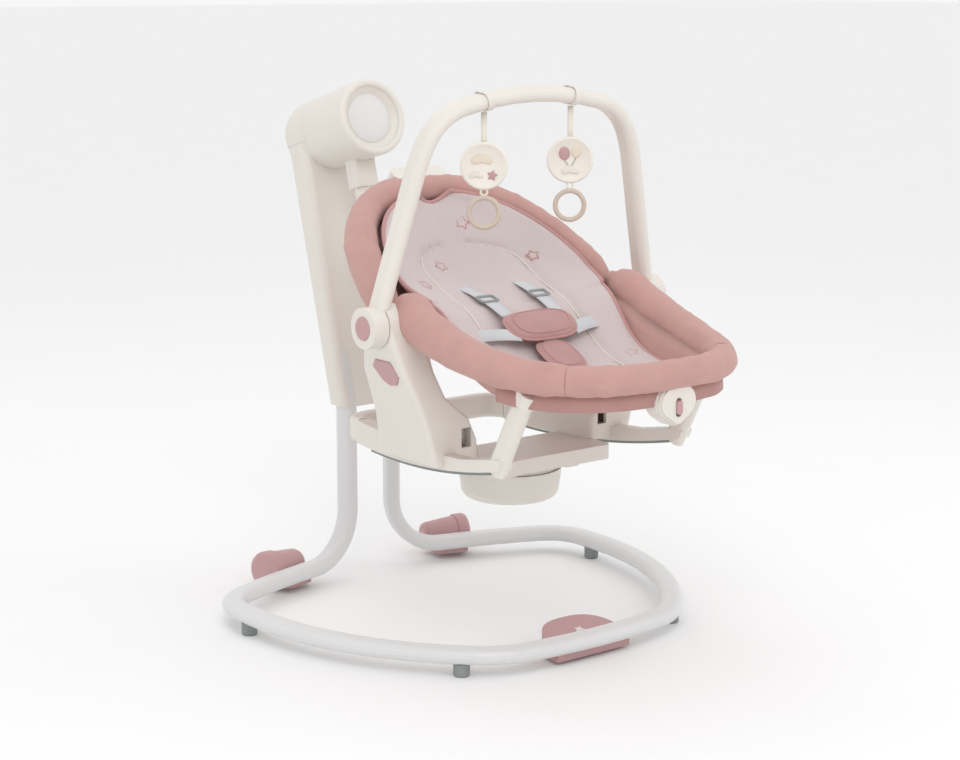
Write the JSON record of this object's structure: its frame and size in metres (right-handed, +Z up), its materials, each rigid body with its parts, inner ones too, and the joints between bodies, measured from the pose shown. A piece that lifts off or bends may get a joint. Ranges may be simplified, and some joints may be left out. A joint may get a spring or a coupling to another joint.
{
  "type": "baby swing",
  "caption": "Baby swing: a bouncer seat with padded bolsters, harness and toy bar that docks on an arm swung by a motor in a leaning tower.",
  "frame": {"origin": "centre of the outer box at floor level, under the hub", "axes": "+Z up, -Y towards the baby's feet and the front of the stand, +X to the right as seen by the seated baby's parent facing +Y"},
  "size_m": [0.7518, 0.9649, 0.8606],
  "materials": {
    "tube": "white powder coat",
    "shell": "fine matt, warm white",
    "panel": "light grey",
    "pink_plastic": "dusty pink, matt",
    "grey_plastic": "grey, matt",
    "rubber": "grey rubber",
    "cover": "dusty pink woven cover",
    "pad_fabric": "darker pink, piped",
    "insert": "pale mauve knit",
    "webbing": "grey webbing",
    "steel": "bright",
    "brass": "turned",
    "gear": "natural",
    "board": "green laminate",
    "battery": "wrapped cells",
    "black_plastic": "black",
    "lens": "translucent white",
    "toy": "cream",
    "ring": "beige"
  },
  "bodies": {
    "stand": {"base_front_tube": "tube", "base_rear_tubes": "tube", "upright_tubes": "tube", "rubber_feet": "rubber", "rear_foot_pads": "pink_plastic", "front_foot_pad": "pink_plastic", "tower_front_shell": "shell", "tower_rear_shell": "shell", "head_rear_cap": "shell", "battery_door": "shell", "batteries": "battery", "circuit_board": "board", "control_panel": "panel", "power_inlet": "black_plastic", "gear_frame": "steel", "drive_motor": "steel"},
    "swing": {"main_shaft": "steel", "drive_gear": "gear", "head_barrel": "shell", "head_lens": "lens", "swing_arm": "shell", "hub_bowl": "shell"},
    "pinion": {"motor_pinion": "brass"},
    "turntable": {"turntable": "shell", "hub_spindle": "steel"},
    "rocker": {"rocker_frame": "shell", "grip_strips": "rubber", "rocker_tray": "shell", "side_brackets": "shell", "pivot_pins": "steel", "front_bolster": "cover", "seat_front_tube": "steel", "seat_pad": "insert", "seat_sling": "cover", "harness_straps": "webbing", "chest_pad": "pad_fabric", "crotch_pad": "pad_fabric", "vibration_housing": "shell", "vibration_motor": "steel"},
    "back": {"back_bolster": "cover", "seat_back_tube": "steel", "back_pad": "insert", "handle_housing": "shell"},
    "toy_bar": {"toy_bar": "shell", "toy_clips": "shell"},
    "snap_button_left": {"snap_button_left": "steel"},
    "snap_button_right": {"snap_button_right": "steel"},
    "speed_button": {"speed_button": "pink_plastic"},
    "music_button": {"music_button": "grey_plastic"},
    "volume_button": {"volume_button": "grey_plastic"},
    "release_button_left": {"release_button_left": "pink_plastic"},
    "release_button_right": {"release_button_right": "pink_plastic"},
    "toy_bar_button_left": {"toy_bar_button_left": "pink_plastic"},
    "toy_bar_button_right": {"toy_bar_button_right": "pink_plastic"},
    "recline_lever": {"recline_lever": "grey_plastic"},
    "vibration_switch": {"vibration_switch": "pink_plastic"},
    "toy_disc_left": {"toy_disc_left": "toy"},
    "toy_disc_right": {"toy_disc_right": "toy"},
    "toy_ring_left": {"toy_ring_left": "ring"},
    "toy_ring_right": {"toy_ring_right": "ring"}
  },
  "joints": [
    {"name": "swing", "type": "hinge", "parent": "stand", "child": "swing", "pos_m": [0, 0.42995, 0.75074], "axis": [0, 0.9659, -0.2588], "range_deg": [-12, 12]},
    {"name": "motor_turn", "type": "hinge", "parent": "stand", "child": "pinion", "pos_m": [0, 0.41986, 0.71306], "axis": [0, 0.9659, -0.2588], "range_deg": [-60, 60]},
    {"name": "seat_turn", "type": "hinge", "parent": "swing", "child": "turntable", "pos_m": [0, -0.0875, 0.27], "axis": [0, 0, 1], "range_deg": [-90, 90]},
    {"name": "rocker_lift", "type": "slide", "parent": "turntable", "child": "rocker", "axis": [0, 0, 1], "range_m": [0, 0.06]},
    {"name": "recline", "type": "hinge", "parent": "rocker", "child": "back", "pos_m": [0, -0.1015, 0.513], "axis": [-1, 0, 0], "range_deg": [0, 13]},
    {"name": "recline_lever_pull", "type": "slide", "parent": "back", "child": "recline_lever", "axis": [0, -0.829, -0.5592], "range_m": [0, 0.006], "stiffness_N_per_m": 600},
    {"name": "toy_bar_fold", "type": "hinge", "parent": "rocker", "child": "toy_bar", "pos_m": [0, -0.1015, 0.513], "axis": [1, 0, 0], "range_deg": [-25, 25]},
    {"name": "vibration_slide", "type": "slide", "parent": "rocker", "child": "vibration_switch", "axis": [0, 0, 1], "range_m": [-0.004, 0.004]},
    {"name": "snap_button_left_push", "type": "slide", "parent": "stand", "child": "snap_button_left", "axis": [0.2588, -0.9659, 0], "range_m": [0, 0.003], "stiffness_N_per_m": 500},
    {"name": "release_left_push", "type": "slide", "parent": "rocker", "child": "release_button_left", "axis": [0.9336, 0, 0.3584], "range_m": [0, 0.005], "stiffness_N_per_m": 500},
    {"name": "toy_bar_button_left_push", "type": "slide", "parent": "toy_bar", "child": "toy_bar_button_left", "axis": [1, 0, 0], "range_m": [0, 0.003], "stiffness_N_per_m": 500},
    {"name": "toy_disc_left_swing", "type": "hinge", "parent": "toy_bar", "child": "toy_disc_left", "pos_m": [-0.093, -0.13967, 0.82372], "axis": [0.8192, -0.5736, 0], "range_deg": [-25, 25]},
    {"name": "toy_ring_left_swing", "type": "hinge", "parent": "toy_disc_left", "child": "toy_ring_left", "pos_m": [-0.093, -0.13967, 0.6965], "axis": [0.8192, -0.5736, 0], "range_deg": [-20, 20]},
    {"name": "snap_button_right_push", "type": "slide", "parent": "stand", "child": "snap_button_right", "axis": [-0.2588, -0.9659, 0], "range_m": [0, 0.003], "stiffness_N_per_m": 500},
    {"name": "release_right_push", "type": "slide", "parent": "rocker", "child": "release_button_right", "axis": [-0.9336, 0, 0.3584], "range_m": [0, 0.005], "stiffness_N_per_m": 500},
    {"name": "toy_bar_button_right_push", "type": "slide", "parent": "toy_bar", "child": "toy_bar_button_right", "axis": [-1, 0, 0], "range_m": [0, 0.003], "stiffness_N_per_m": 500},
    {"name": "toy_disc_right_swing", "type": "hinge", "parent": "toy_bar", "child": "toy_disc_right", "pos_m": [0.075, -0.13967, 0.82667], "axis": [0.8192, -0.5736, 0], "range_deg": [-25, 25]},
    {"name": "toy_ring_right_swing", "type": "hinge", "parent": "toy_disc_right", "child": "toy_ring_right", "pos_m": [0.075, -0.13967, 0.6965], "axis": [0.8192, -0.5736, 0], "range_deg": [-20, 20]},
    {"name": "speed_button_push", "type": "slide", "parent": "stand", "child": "speed_button", "axis": [0, -0.9659, 0.2588], "range_m": [0, 0.0012], "stiffness_N_per_m": 500},
    {"name": "music_button_push", "type": "slide", "parent": "stand", "child": "music_button", "axis": [0, -0.9659, 0.2588], "range_m": [0, 0.0012], "stiffness_N_per_m": 500},
    {"name": "volume_button_push", "type": "slide", "parent": "stand", "child": "volume_button", "axis": [0, -0.9659, 0.2588], "range_m": [0, 0.0012], "stiffness_N_per_m": 500}
  ],
  "couplings": [
    {"joint": "motor_turn", "follows": "swing", "ratio": -4.2}
  ]
}
